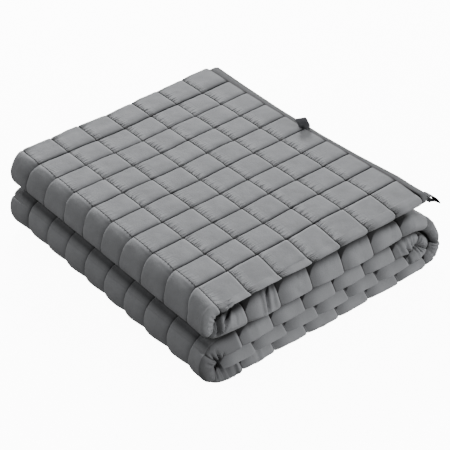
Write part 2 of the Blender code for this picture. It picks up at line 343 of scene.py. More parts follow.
@dataclass(frozen=True)
class Quilting:
    """The relief that the quilting gives a cover: pillows, drawn-in seams, and creases beside them."""

    # How sharply a pillow falls to its two seams: first on its +X or +Y side, where the cloth is
    # pulled up short, then on its -X or -Y side, where it slopes away. The first two pairs are for the
    # seams across and along the strip, and the others for seams along a roll, for those across at a
    # folded edge, and for how far that edge sticks out.
    across_powers: Pair = (13.0, 7.0)
    along_powers: Pair = (20.0, 6.5)
    roll_powers: Pair = (20.0, 2.8)
    edge_powers: Pair = (36.0, 12.0)
    reach_powers: Pair = (30.0, 3.6)
    # How far the cover on top slopes down to its front edge, at some quilting lines.
    shoulder_lines: tuple[float, ...] = (0.0, 3.0, 5.0, 6.8, 7.4)
    shoulder: tuple[float, ...] = (0.0050, 0.0075, 0.0100, 0.0105, 0.0)
    shoulder_power: float = 1.5
    groove_depth: float = 0.0012
    groove_width: float = 0.0010
    groove_flat: float = 0.2  # share of that depth on a seam across the strip
    groove_edge: float = 0.3  # how much more of it there is at a folded edge
    fullness: float = 0.0009  # how unevenly the squares are filled
    crease: float = 0.00035
    coarse_share: float = 1.6  # how much deeper the coarse creases are
    coarse_steps: Pair = (3.7, 2.9)  # creases to a square, along and across the strip
    fine_steps: Pair = (7.3, 6.1)
    fine_lean: float = 2.0  # how far the fine ones lean, in creases to a square

    def fall(self, part: Array, powers: Powers) -> Array:
        """1 at both seams of a pillow and near 0 on its crown: (1 - p)^a + p^b, p from its steep side."""
        return (1 - part) ** powers[0] + part ** powers[1]

    def across_fall(self, lines: Array, powers: Powers) -> Array:
        """The fall towards the lines that run across, blended where the strip turns back."""
        part, back = lines - np.floor(lines), self.turned_back(lines)
        return self.fall(part, powers) * (1 - back) + self.fall(1 - part, powers) * back

    def turned_back(self, lines: Array) -> Array:
        """1 where the strip runs towards +X and 0 where it runs towards -X, blended in the turns."""
        return sum(between(lines, *limits) for limits in REVERSED)

    def along_fall(self, places: Array, powers: Powers) -> Array:
        """The fall towards the lines that run along, of which there is none at the folded edges.

        Args:
            places: places across, broadcast with the powers.
            powers: of the steep side and of the gentle one.

        Returns:
            1 on a line, near 0 on a crown.
        """
        part = np.where(places < LAST_PLACE, places - np.floor(places), 1.0)
        steep = np.where(places < 1, 0.0, (1 - part) ** powers[0])
        return steep + np.where(places > LAST_PLACE - 1, 0.0, part ** powers[1])

    def across_share(self, lines: Array) -> Array:
        """0 on a line that runs across the strip, 1 midway between two."""
        return 2 * np.abs(lines - np.round(lines))

    def along_share(self, places: Array) -> Array:
        """How far a place is from the nearest line that runs along the strip.

        Args:
            places: places across.

        Returns:
            0 on a line, 1 midway between two or on the folded edge.
        """
        inner = 2 * np.abs(places - np.round(places))
        from_line_9 = places - LAST_PLACE + 1
        return np.where(places < 1, 1 - places, np.where(from_line_9 > 0, from_line_9, inner))

    def drop(self, lines: Array, places: Array, fade: Array) -> Array:
        """How far the cover lies below its crowns.

        Both seams' depths, each times its fall, add up as the root of their squares. The shoulder at
        the front, narrow grooves, a random fullness for each square and soft noise come on top, and
        all that varies across the strip fades where the cover ends in a straight edge.

        Args:
            lines: quilting line numbers, (n,).
            places: places across, (m,).
            fade: 1 where the relief is whole and 0 where it has to be straight across, (n,).

        Returns:
            The drop in metres, (n, m).
        """
        line, place = lines[:, None], places[None, :]
        t_across, t_along = self.across_share(line), self.along_share(place)
        near_edge = np.maximum(smooth(place - LAST_PLACE + 1), smooth(1 - place))
        at, *depths = np.array(SEAM_DEPTHS).T
        deep, deep_at_edge, deep_along = (np.interp(lines, at, depth)[:, None] for depth in depths)
        deep = deep + (deep_at_edge - deep) * near_edge
        fall_across = self.across_fall(line, blended(self.across_powers, self.edge_powers, near_edge))
        rolled = (between(lines, *UPPER_ROLL) + rise(lines, *PAST_LOWER_ROLL))[:, None]
        fall_along = self.along_fall(place, blended(self.along_powers, self.roll_powers, rolled))
        fall_along = fall_along * fade[:, None]
        total = np.sqrt((deep * fall_across) ** 2 + (deep_along * fall_along) ** 2)
        slope = np.interp(lines, self.shoulder_lines, self.shoulder)[:, None]
        total = total + slope * np.clip(place - LAST_PLACE + 1, 0, 1) ** self.shoulder_power
        groove = bell(t_across * CELL / 2, self.groove_width)
        groove = groove * (self.groove_flat + self.groove_edge * near_edge)
        groove = np.maximum(groove, bell(t_along * CELL / 2, self.groove_width) * fade[:, None])
        crown = np.clip(1 - fall_across, 0, 1) * np.clip(1 - fall_along, 0, 1) * fade[:, None]
        filling = np.random.default_rng(FILLING_SEED).uniform(-1, 1, (LAST_LINE + 2, LAST_PLACE + 1))
        square = filling[np.floor(line).astype(int) % (LAST_LINE + 2), np.floor(place).astype(int)]
        uneven = (square * 0.5 + 0.5) * self.fullness * crown
        step, step_across = self.coarse_steps
        coarse = scatter_noise(line * step, place * step_across, COARSE_SEED) * self.crease
        step, step_across = self.fine_steps
        leaning = line * step + place * self.fine_lean
        fine = scatter_noise(leaning, place * step_across - line, FINE_SEED) * self.crease
        creases = coarse * self.coarse_share + fine
        return total + groove * self.groove_depth + uneven + creases * crown


def blended(first: Powers, second: Powers, share: Array) -> Powers:
    """Both powers, going over from the first pair to the second with the share."""
    return tuple(low + (high - low) * share for low, high in zip(first, second))


class Tuck(NamedTuple):
    """A crease or ridge in a folded edge, from one place to another.

    Lines are along the strip. Turned is from 0 at cover A to 1 at cover B. Depth is inwards.
    """

    line: float
    turned: float
    to_line: float
    to_turned: float
    depth: float
    width: float


FRONT_TUCKS = (
    # The hook where the top's edge meets the roll, and the roll's end with its eye.
    Tuck(6.60, 0.06, 6.64, 0.20, 0.0045, 0.0014),
    Tuck(6.64, 0.20, 6.78, 0.60, 0.0060, 0.0016),
    Tuck(7.34, 0.30, 7.38, 0.90, 0.0030, 0.0014),
    Tuck(7.50, 0.35, 7.52, 0.95, 0.0035, 0.0014),
    Tuck(7.68, 0.40, 7.66, 0.95, 0.0035, 0.0014),
    Tuck(7.86, 0.40, 7.80, 0.95, 0.0035, 0.0014),
    Tuck(8.02, 0.45, 7.96, 0.95, 0.0030, 0.0014),
    Tuck(8.15, 0.35, 8.27, 0.97, 0.0085, 0.0017),
    Tuck(8.20, 0.30, 8.42, 0.95, -0.0035, 0.0016),
    Tuck(8.27, 0.40, 8.42, 0.70, 0.0060, 0.0016),
    Tuck(8.42, 0.70, 8.62, 0.99, 0.0100, 0.0020),
    Tuck(8.49, 0.46, 8.57, 0.72, -0.0022, 0.0014),
    Tuck(8.66, 0.52, 8.74, 0.80, 0.0016, 0.0014),
    # The pressed fold in the second square, and soft creases beside it.
    Tuck(9.58, 0.55, 9.76, 0.98, 0.0090, 0.0018),
    Tuck(9.50, 0.50, 9.62, 0.98, -0.0030, 0.0018),
    Tuck(9.80, 0.60, 9.92, 0.90, 0.0030, 0.0022),
    Tuck(10.42, 0.50, 10.56, 0.85, 0.0030, 0.0016),
    Tuck(10.55, 0.50, 10.70, 0.85, 0.0034, 0.0016),
    Tuck(10.70, 0.55, 10.84, 0.85, 0.0026, 0.0016),
    Tuck(11.35, 0.50, 11.42, 0.85, 0.0024, 0.0016),
    Tuck(11.60, 0.50, 11.68, 0.80, 0.0022, 0.0018),
    Tuck(12.30, 0.50, 12.42, 0.85, 0.0024, 0.0016),
    Tuck(12.55, 0.50, 12.70, 0.88, 0.0032, 0.0016),
    Tuck(13.62, 0.45, 13.80, 0.90, 0.0035, 0.0018),
    Tuck(14.30, 0.20, 14.38, 0.75, 0.0020, 0.0016),
    # The lower left roll's end: pleats that run into its eye.
    Tuck(23.42, 0.42, 23.36, 0.02, 0.0060, 0.0018),
    Tuck(23.56, 0.46, 23.60, 0.02, 0.0065, 0.0017),
    Tuck(23.86, 0.48, 23.95, 0.02, 0.0070, 0.0018),
    Tuck(24.20, 0.50, 24.28, 0.02, 0.0030, 0.0016),
    Tuck(24.48, 0.55, 24.50, 0.02, 0.0030, 0.0015),
    Tuck(24.81, 0.74, 24.72, 0.02, 0.0045, 0.0016),
    Tuck(25.09, 0.79, 24.92, 0.05, 0.0040, 0.0016),
    Tuck(25.26, 0.75, 25.06, 0.05, 0.0060, 0.0017),
    Tuck(25.42, 0.60, 25.22, 0.05, 0.0050, 0.0017),
    Tuck(26.39, 0.90, 26.46, 0.40, 0.0060, 0.0018),
    Tuck(22.44, 0.06, 22.50, 0.55, 0.0055, 0.0020),
    Tuck(20.45, 0.05, 20.50, 0.45, 0.0050, 0.0018),
    Tuck(23.16, 0.10, 23.20, 0.60, 0.0045, 0.0018),
    # The right end: pleats around the inner roll's eye, strokes below it, and the outer wrap.
    Tuck(31.42, 0.88, 31.56, 0.05, 0.0080, 0.0020),
    Tuck(31.60, 0.88, 31.68, 0.05, 0.0045, 0.0015),
    Tuck(31.74, 0.80, 31.78, 0.05, 0.0045, 0.0015),
    Tuck(32.04, 0.82, 31.96, 0.05, 0.0050, 0.0015),
    Tuck(32.22, 0.78, 32.14, 0.05, 0.0045, 0.0015),
    Tuck(32.46, 0.74, 32.36, 0.05, 0.0045, 0.0015),
    Tuck(32.72, 0.66, 32.62, 0.05, 0.0050, 0.0016),
    Tuck(33.02, 0.60, 32.92, 0.05, 0.0045, 0.0016),
    Tuck(33.30, 0.52, 33.24, 0.05, 0.0060, 0.0018),
    Tuck(33.60, 0.55, 33.56, 0.05, 0.0060, 0.0018),
    Tuck(33.92, 0.10, 33.96, 0.60, 0.0040, 0.0018),
    Tuck(31.26, 0.55, 31.20, 0.95, 0.0035, 0.0018),
    Tuck(15.04, 0.20, 15.34, 0.80, 0.0035, 0.0018),
    Tuck(16.12, 0.15, 16.16, 0.80, 0.0030, 0.0016),
    Tuck(16.44, 0.18, 16.66, 0.80, 0.0035, 0.0018),
    Tuck(17.13, 0.20, 17.24, 0.70, 0.0045, 0.0020),
)
BACK_TUCKS = (
    Tuck(7.35, 0.45, 7.50, 0.98, 0.0045, 0.0018),
    Tuck(7.75, 0.50, 7.68, 1.00, 0.0040, 0.0018),
    Tuck(24.25, 0.50, 24.38, 0.00, 0.0045, 0.0018),
    Tuck(24.70, 0.55, 24.55, 0.00, 0.0045, 0.0018),
    Tuck(32.25, 0.50, 32.42, 0.00, 0.0045, 0.0016),
    Tuck(32.70, 0.55, 32.60, 0.00, 0.0045, 0.0016),
    Tuck(33.10, 0.45, 32.80, 0.00, 0.0040, 0.0016),
)


class EdgeShape(NamedTuple):
    """The section of both folded edges at one quilting line.

    A nose is how far the tip is shifted from mid thickness towards cover B, as a share of half the
    thickness. Point is how pointed the section is. A puff is how far it swells between two seams.
    """

    line: float
    point: float
    front_nose: float
    front_puff: float  # in millimetres, as the back's
    back_nose: float
    back_puff: float


EDGES = (
    EdgeShape(0.0, 1.0, -0.3, 2.0, -0.3, 0.4),
    EdgeShape(3.0, 1.1, -0.4, 2.0, -0.4, 0.4),
    EdgeShape(5.0, 1.5, -0.9, 2.0, -0.9, 0.4),
    EdgeShape(6.62, 1.5, -0.9, 2.0, -0.9, 0.4),
    EdgeShape(6.78, 1.2, -0.3, 2.0, -0.85, 0.4),
    EdgeShape(6.95, 1.1, 0.2, 2.0, -0.8, 0.5),
    EdgeShape(7.3, 1.1, 0.1, 2.5, -0.4, 0.8),
    EdgeShape(8.5, 1.2, 0.0, 2.5, 0.0, 2.0),
    EdgeShape(9.5, 1.6, -0.6, 2.8, -0.6, 3.0),
    EdgeShape(13.0, 1.6, -0.6, 2.8, -0.6, 3.0),
    EdgeShape(14.5, 1.2, 0.0, 2.4, 0.0, 3.0),
    EdgeShape(17.2, 1.2, 0.0, 1.6, 0.0, 3.0),
    EdgeShape(18.0, 1.6, 0.5, 1.4, 0.5, 3.0),
    EdgeShape(23.2, 1.6, 0.5, 1.6, 0.5, 3.0),
    EdgeShape(24.2, 1.2, 0.0, 2.6, 0.0, 3.0),
    EdgeShape(26.0, 1.6, -0.4, 2.8, -0.4, 3.0),
    EdgeShape(31.0, 1.6, -0.4, 2.8, -0.4, 3.0),
    EdgeShape(32.0, 1.2, 0.0, 2.5, 0.0, 3.0),
    EdgeShape(33.8, 1.2, 0.0, 2.5, 0.0, 3.0),
    EdgeShape(34.5, 1.6, 0.5, 2.8, 0.5, 3.0),
    EdgeShape(40.0, 1.6, 0.5, 2.8, 0.5, 3.0),
)
# How far a hidden cover is drawn back into the eye at the front end of a roll: lines, and metres there.
EYES = {
    Cover.A: (
        (23.4, 23.7, 25.2, 25.6, 31.4, 31.8, 33.3, 33.7),
        (0.0, 0.004, 0.004, 0.0, 0.0, 0.014, 0.014, 0.0),
    ),
    Cover.B: ((6.9, 7.2, 8.1, 8.5), (0.0, 0.008, 0.008, 0.0)),
}
# How far cover B of the second layer rises at its front end, up to the edge of the layer above.
LIFTS = ((8.7, 9.4, 12.0, 13.0, 14.0), (0.0, 0.0088, 0.0085, 0.0065, 0.0))


@dataclass(frozen=True)
class FoldedEdge:
    """The rounding between the two covers at one side of the strip."""

    side: Side
    steps: int  # around it
    tucks: tuple[Tuck, ...]
    seed: int  # of its crumples
    reach: float = 0.0120  # how far it sticks out
    arc: float = 0.95  # its length around, in squares
    groove: float = 0.0007
    groove_width: float = 0.0012
    back_groove: float = 0.3  # share of the groove's depth at the back
    blunt: float = 0.15  # a tuck's depth where it begins, squared, as a share of its full depth
    sharpen: float = 3.0  # how soon along its run it is full
    lip: float = 0.3  # share of a tuck's depth by which the cloth beside it swells
    lip_at: float = 2.0  # how far from the tuck that is, in its widths
    crumple: float = 0.0004
    crumple_steps: Pair = (4.3, 5.0)  # to a square along the strip, and around the edge
    steady: float = 3.0  # how soon tucks and crumples set in beside the covers

    def turned(self) -> Array:
        """Places around it, from 0 at cover A to 1 at cover B, without both ends."""
        return np.arange(1, self.steps) / self.steps

    def tuck_depth(self, lines: Array, turned: Array) -> Array:
        """How far the tucks draw the edge in: depth times exp(-(d / w)^2), with d to the tuck's run.

        Args:
            lines: quilting line numbers, (n,).
            turned: places around the edge, (m,).

        Returns:
            The depth in metres, less a share of it on a lip at one side, (n, m).
        """
        depth = np.zeros((len(lines), len(turned)))
        at = np.stack(np.broadcast_arrays(lines[:, None], turned[None, :] * self.arc), axis=-1)
        for tuck in self.tucks:
            start = np.array([tuck.line, tuck.turned * self.arc])
            run = np.array([tuck.to_line, tuck.to_turned * self.arc]) - start
            share = np.clip(((at - start) @ run) / (run @ run), 0, 1)
            gap = np.linalg.norm(at - start - share[..., None] * run, axis=-1) * CELL
            taper = np.sqrt(np.clip(self.blunt + self.sharpen * share, 0, 1))
            depth += tuck.depth * taper * bell(gap, tuck.width)
            depth -= self.lip * tuck.depth * taper * bell(gap - self.lip_at * tuck.width, tuck.width)
        return depth

    def points(self, start: Array, end: Array, lines: Array, quilting: Quilting) -> Array:
        """The points of the rounding, ring by ring.

        Between start and end the point follows mid + half * cos^r and sticks out by reach * sin^r, where
        r above 1 makes it pointed. The nose shifts it by half * nose * sin^2. Reach is less on a seam,
        and tucks and soft noise draw the cloth in.

        Args:
            start: where cover A ends, (n, 3).
            end: where cover B ends, (n, 3).
            lines: quilting line numbers, (n,).
            quilting: gives the pillows' profile.

        Returns:
            The points from cover A's side to cover B's, (n, steps - 1, 3).
        """
        turned = self.turned()
        angle = math.pi * turned
        at, points, *sides = np.array(EDGES).T
        noses, puffs = sides[:2] if self.side is Side.FRONT else sides[2:]
        point = np.interp(lines, at, points)[:, None]
        cosine = np.sign(np.cos(angle)) * np.abs(np.cos(angle)) ** point
        sine = np.sin(angle) ** point
        puffed = 1 - quilting.across_fall(lines, quilting.reach_powers)
        puff = np.interp(lines, at, puffs) / 1000
        seam = bell(quilting.across_share(lines) * CELL / 2, self.groove_width)
        seam = seam * (self.back_groove if self.side is Side.BACK else 1)
        reach = self.reach + puff * puffed - self.groove * seam
        middle, half = (start + end) / 2, (start - end) / 2
        nose = np.interp(lines, at, noses)[:, None, None] * (np.sin(angle) ** 2)[None, :, None]
        step, step_around = self.crumple_steps
        noise = scatter_noise(lines[:, None] * step, turned[None, :] * step_around, self.seed)
        inward = self.tuck_depth(lines, turned) + self.crumple * noise
        inward = inward * np.minimum(1, self.steady * np.sin(angle))
        half_size = np.linalg.norm(half, axis=-1)
        shrink = 1 - inward / half_size[:, None] * np.abs(cosine)
        out = np.array([0.0, self.side.value, 0.0])
        spread = half[:, None, :] * (cosine * shrink)[..., None]
        spread = spread - half[:, None, :] * nose
        return middle[:, None, :] + spread + out * (reach[:, None] * sine - inward * sine)[..., None]


DASHED_LINES = (0.0, 7.0)  # where the stitches themselves show
FAINT_LINE = 7.0  # the seam on the upper roll's edge, which is pulled less tight
# What a point on no cover gets: further from the seams along the strip than any on a cover, as a share
# of half a square, and a place midway between two of them.
OFF_COVERS = 2.0
NO_PLACE = 0.5


class Stretch(NamedTuple):
    """A stretch of the strip: its lines, how many rings stand from line to line, and what shows of it."""

    start: float
    end: float
    per_line: int
    shown: Cover | None


STRETCHES = (
    Stretch(0, 7, 16, Cover.A),
    Stretch(7, 8, 40, Cover.A),
    Stretch(8, 10, 40, None),
    Stretch(10, 14, 16, None),
    Stretch(14, 17, 24, Cover.B),
    Stretch(17, 22, 12, Cover.B),
    Stretch(22, 26, 28, Cover.B),
    Stretch(26, 31, 16, None),
    Stretch(31, 34, 40, None),
    Stretch(34, 40, 14, None),
)
# Steps around each folded edge, and points in each square across a cover that shows.
FRONT_STEPS = 32
BACK_STEPS = 10
ACROSS_POINTS = {Cover.A: 22, Cover.B: 10}


def linked(name: str, data: bpy.types.ID) -> bpy.types.Object:
    """Puts a mesh, light or camera into the scene.

    Args:
        name: the object's name.
        data: what it shows.

    Returns:
        The object, at the origin.
    """
    made = bpy.data.objects.new(name, data)
    bpy.context.scene.collection.objects.link(made)
    return made


class Rings(NamedTuple):
    """Rings of points that a skin has."""

    ids: Array  # the points' numbers, (rings, count)
    lines: Array
    around: Array
    shown: Cover | None


@dataclass
class Skin:
    """Points, faces and per-point values that are gathered and then made into one mesh."""

    points: list[Array] = field(default_factory=list)
    faces: list[list[int]] = field(default_factory=list)
    corners: list[Array] = field(default_factory=list)
    values: dict[str, list[Array]] = field(default_factory=dict)
    count: int = 0

    def add_grid(self, points: Array, lines: Array, around: Array) -> Array:
        """Adds rings of points and the faces between them.

        Args:
            points: (rings, count, 3), each ring closed on itself.
            lines: the first map coordinate of each ring.
            around: the second one of each point, and of the first point again after the last.

        Returns:
            The points' numbers, (rings, count).
        """
        rings, count = points.shape[:2]
        ids = self.count + np.arange(rings * count).reshape(rings, count)
        self.points.append(points.reshape(-1, 3))
        self.count += rings * count
        closed = np.concatenate([ids, ids[:, :1]], axis=1)
        self.quads(closed[:-1], closed[1:], lines[:-1], lines[1:], around)
        return ids

    def quads(self, first: Array, second: Array, line_1: Array, line_2: Array, around: Array) -> None:
        """Adds squares between rows of point numbers, with their map coordinates.

        Args:
            first: the rows' point numbers, (rows, count).
            second: those of the row after each.
            line_1: the first map coordinate of each first row.
            line_2: that of each second row.
            around: the second map coordinate, (count,).
        """
        quads = np.stack([first[:, :-1], second[:, :-1], second[:, 1:], first[:, 1:]], axis=-1)
        low = np.broadcast_to(around[:-1], quads.shape[:2])
        high = np.broadcast_to(around[1:], quads.shape[:2])
        near = np.broadcast_to(line_1[:, None], quads.shape[:2])
        far = np.broadcast_to(line_2[:, None], quads.shape[:2])
        corners = np.stack([near, low, far, low, far, high, near, high], axis=-1)
        self.faces += quads.reshape(-1, 4).tolist()
        self.corners.append(corners.reshape(-1, 2))

    def many_sided(self, ring: list[int], corners: Array) -> None:
        """One face with many corners."""
        self.faces.append(ring)
        self.corners.append(corners)

    def cap(self, ring: Array, flip: bool) -> None:
        """Closes an end of the strip with one face."""
        numbers = ring[::-1] if flip else ring
        self.many_sided(numbers.tolist(), np.zeros((len(ring), 2)))

    def sew(self, before: Rings, after: Rings) -> None:
        """Joins two stretches, whose covers may have different numbers of points.

        Bands with as many points get squares, and others one face with many corners.

        Args:
            before: the earlier stretch.
            after: the later one.
        """
        ids_1, lines_1, around_1, shown_1 = before
        ids_2, lines_2, around_2, shown_2 = after
        ring_1, ring_2 = np.append(ids_1[-1], ids_1[-1][0]), np.append(ids_2[0], ids_2[0][0])
        for (a, b), (c, d) in zip(band_runs(shown_1), band_runs(shown_2)):
            row_1, row_2 = ring_1[a : b + 1], ring_2[c : d + 1]
            if len(row_1) == len(row_2):
                self.quads(row_1[None], row_2[None], lines_1[-1:], lines_2[:1], around_1[a : b + 1])
            else:
                corner_1 = np.stack([np.full(len(row_1), lines_1[-1]), around_1[a : b + 1]], axis=-1)
                corner_2 = np.stack([np.full(len(row_2), lines_2[0]), around_2[c : d + 1]], axis=-1)
                ring = [*row_1[::-1].tolist(), *row_2.tolist()]
                self.many_sided(ring, np.concatenate([corner_1[::-1], corner_2]))

    def add_values(self, name: str, values: Array) -> None:
        """Values for the points added last."""
        self.values.setdefault(name, []).append(values.reshape(-1))

    def make(self, name: str) -> bpy.types.Object:
        """Makes the mesh object, smooth, with its map and values, and nothing of it below the floor.

        Args:
            name: the piece's name.

        Returns:
            The object, at the origin.
        """
        mesh = bpy.data.meshes.new(name)
        points = np.concatenate(self.points) - np.array([*MIDDLE, 0.0])
        points[:, 2] = np.maximum(points[:, 2], 0.0)
        mesh.from_pydata(points, [], self.faces)
        mesh.polygons.foreach_set("use_smooth", np.ones(len(mesh.polygons), dtype=bool))
        cloth = mesh.uv_layers.new(name="cloth")
        cloth.data.foreach_set("uv", (np.concatenate(self.corners) * CELL).ravel())
        for key, values in self.values.items():
            layer = mesh.attributes.new(key, "FLOAT", "POINT")
            layer.data.foreach_set("value", np.concatenate(values))
        mesh.update()
        return linked(name, mesh)


def band_runs(shown: Cover | None) -> list[tuple[int, int]]:
    """The bands of a ring: cover A, front fold, cover B, back fold.

    Args:
        shown: the cover that has all its points, or None.

    Returns:
        The first and last point of each band.
    """
    size_a = ACROSS_POINTS[Cover.A] * LAST_PLACE if shown is Cover.A else 1
    size_b = ACROSS_POINTS[Cover.B] * LAST_PLACE if shown is Cover.B else 1
    sizes = [size_a, FRONT_STEPS, size_b, BACK_STEPS]
    ends = np.cumsum([0, *sizes])
    return [(int(a), int(b)) for a, b in zip(ends, ends[1:])]


@dataclass
class QuiltShell:
    """The whole quilt as one closed skin."""

    path: StripPath = StripPath()
    spread: Spread = Spread()
    quilting: Quilting = Quilting()
    front: FoldedEdge = FoldedEdge(Side.FRONT, FRONT_STEPS, FRONT_TUCKS, FRONT_SEED)
    back: FoldedEdge = FoldedEdge(Side.BACK, BACK_STEPS, BACK_TUCKS, BACK_SEED)
    crowding: float = 0.6
    pucker_reach: float = 0.008  # how far puckers run from a seam
    faint: float = 0.0011  # the distance added on the faint line, which makes its painted seam shade lighter
    faint_reach: float = 0.15  # in squares
    # How far around a folded edge the painted shade of a gap reaches from cover A and from cover B, as a
    # share.
    gap_from_a: float = 0.15
    gap_from_b: float = 0.30
    # The notches of painted shadow beside the seams of the folded edges: their width in squares, from which
    # height they set in and over how much they widen, how soft they are, and how dark the lower ones are.
    notch: float = 0.26
    notch_from: float = 0.74
    notch_rise: float = 0.18
    notch_blur: float = 0.05
    lower_notch: float = 0.8
    lower_lines: float = 25.0
    slit: float = 0.9  # how dark the painted shade in the slit beside the hem is
    slit_width: float = 0.0028

    def marks(self) -> Triple:
        """How far around the ring the front fold, cover B and the back fold end, in squares."""
        fold = LAST_PLACE + self.front.arc
        return fold, fold + LAST_PLACE, fold + LAST_PLACE + self.back.arc

    def places(self, cover: Cover, shown: bool) -> Array:
        """Places across one cover, from the back to the front.

        Args:
            cover: which cover.
            shown: whether it shows and so has all its points, or only its two ends.

        Returns:
            The places, from 0 to 10, closer together near each line.
        """
        if not shown:
            return np.array([0.0, LAST_PLACE])
        one = crowded(ACROSS_POINTS[cover], self.crowding)
        return np.concatenate([*(square + one for square in range(LAST_PLACE)), [LAST_PLACE]])

    def fade(self, lines: Array, cover: Cover) -> Array:
        """1 where a shown cover's relief is whole, 0 at the lines where it starts or stops being shown."""
        return 1 - rise(lines, *A_ENDS) if cover is Cover.A else between(lines, *B_RELIEF)

    def cover_points(self, lines: Array, places: Array, cover: Cover) -> Array:
        """A cover's points: the strip's middle, plus its outward direction times half less the drop.

        Args:
            lines: quilting line numbers, (n,).
            places: places across, (m,).
            cover: which cover.

        Returns:
            The points, (n, m, 3).
        """
        x, z, half_a, half_b = self.path.middle(lines)
        half = half_a if cover is Cover.A else half_b
        outward = self.path.outward(lines) * cover.value
        y = self.spread.y_of(lines, places)
        fade = self.fade(lines, cover) if len(places) > 2 else np.zeros_like(lines)
        height = half[:, None] - self.quilting.drop(lines, places, fade)
        swayed = self.spread.sway(lines, y)
        return np.stack(
            [x[:, None] + swayed + outward[:, :1] * height, y, z[:, None] + outward[:, 1:] * height], axis=-1
        )

    def ring_points(self, lines: Array, shown: Cover | None) -> tuple[Array, Array]:
        """The strip's sections: cover A, front fold, cover B, back fold.

        Args:
            lines: quilting line numbers, (n,).
            shown: the cover that has all its points, or None.

        Returns:
            The points, (n, count, 3), and how far around each lies in squares, (count + 1,).
        """
        places_a = self.places(Cover.A, shown is Cover.A)
        places_b = self.places(Cover.B, shown is Cover.B)
        cover_a = self.cover_points(lines, places_a, Cover.A)
        cover_b = self.cover_points(lines, places_b, Cover.B)[:, ::-1]
        if len(places_a) == 2:
            cover_a[:, -1, 1] += np.interp(lines, *EYES[Cover.A])
        if len(places_b) == 2:
            cover_b[:, 0, 1] += np.interp(lines, *EYES[Cover.B])
            cover_b[:, 0, 2] += np.interp(lines, *LIFTS)
        front = self.front.points(cover_a[:, -1], cover_b[:, 0], lines, self.quilting)
        back = self.back.points(cover_a[:, 0], cover_b[:, -1], lines, self.quilting)[:, ::-1]
        _, b_ends, ring_ends = self.marks()
        around = np.concatenate(
            [
                places_a,
                LAST_PLACE + self.front.arc * self.front.turned(),
                b_ends - places_b[::-1],
                b_ends + self.back.arc * self.back.turned(),
                [ring_ends],
            ]
        )
        return np.concatenate([cover_a, front, cover_b, back], axis=1), around

    def seam_distances(self, lines: Array, around: Array) -> dict[str, Array]:
        """Distances in metres to the nearest lines of stitches, at each point of each ring.

        A distance is 0 on its line and grows evenly to half a square. The faint line keeps some.

        Args:
            lines: quilting line numbers, (n,).
            around: how far around the ring each point lies, (m,).

        Returns:
            Distances (n, m) past the last line across the strip on the +X side, to the nearest of those
            lines, to those along the strip and to the dashed ones, and each point's place.
        """
        place_b = self.marks()[1] - around
        on_a, on_b = around <= LAST_PLACE, (place_b >= 0) & (place_b <= LAST_PLACE)
        along = np.where(on_a, self.quilting.along_share(around), OFF_COVERS)
        along = np.where(on_b & ~on_a, self.quilting.along_share(place_b), along)
        across = self.quilting.across_share(lines)[:, None]
        dashed = np.min(np.abs(lines[:, None] - np.array(DASHED_LINES)), axis=1)[:, None]
        flat = np.ones((len(lines), len(around)))
        part = (lines - np.floor(lines))[:, None]
        past = np.where((self.quilting.turned_back(lines) > 0.5)[:, None], 1 - part, part)
        rolled = between(lines, *LOWER_ROLL)
        faint = self.faint * bell(lines - FAINT_LINE, self.faint_reach)[:, None]
        return {
            "past": (past + rolled[:, None]) * CELL * flat,
            "seam_across": (across * CELL / 2 + faint) * flat,
            "seam_along": along[None, :] * CELL / 2 * flat,
            "stitch": dashed * CELL * flat,
            "place": np.where(on_a, around, np.where(on_b, place_b, NO_PLACE))[None, :] * flat,
        }

    def painted_gap_shade(self, lines: Array, around: Array) -> Array:
        """How much painted shade each point gets for lying inside a gap between layers, from 0 outside to 1.

        Each cover counts as shown or hidden by its lines. Around a folded edge the values of both
        covers fade out. A triangular notch of painted shadow stands just beyond each seam, widest where the
        fold leaves the upper cover, and a slit of painted shade where the hem begins.

        Args:
            lines: quilting line numbers, (n,).
            around: how far around the ring each point lies, (m,).

        Returns:
            The values, (n, m).
        """
        fold_ends, b_ends, _ = self.marks()
        under_a = rise(lines, *A_HIDDEN)[:, None]
        under_b = 1 - between(lines, *B_SEEN)[:, None]
        front = np.clip((around - LAST_PLACE) / self.front.arc, 0, 1)
        back = np.clip((around - b_ends) / self.back.arc, 0, 1)
        turned = np.where(around <= fold_ends, front, 1 - back)[None, :]
        value = under_a * (1 - smooth(turned / self.gap_from_a))
        value = value + under_b * (1 - smooth((1 - turned) / self.gap_from_b))
        part = (lines - np.floor(lines))[:, None]
        flipped = (self.quilting.turned_back(lines) > 0.5)[:, None]
        beyond = np.where(flipped, part, 1 - part)
        height = np.where(flipped, turned, 1 - turned)
        wide = self.notch * np.clip((height - self.notch_from) / self.notch_rise, 0, 1)
        notch = smooth((wide - beyond) / self.notch_blur)
        depth = np.where(flipped, under_b, under_a)
        depth = depth * np.where(lines[:, None] > self.lower_lines, self.lower_notch, 1.0)
        slit = self.slit * bell(lines * CELL, self.slit_width)[:, None] * (around < LAST_PLACE)[None, :]
        return np.clip(np.maximum(value + depth * notch, slit), 0, 1)

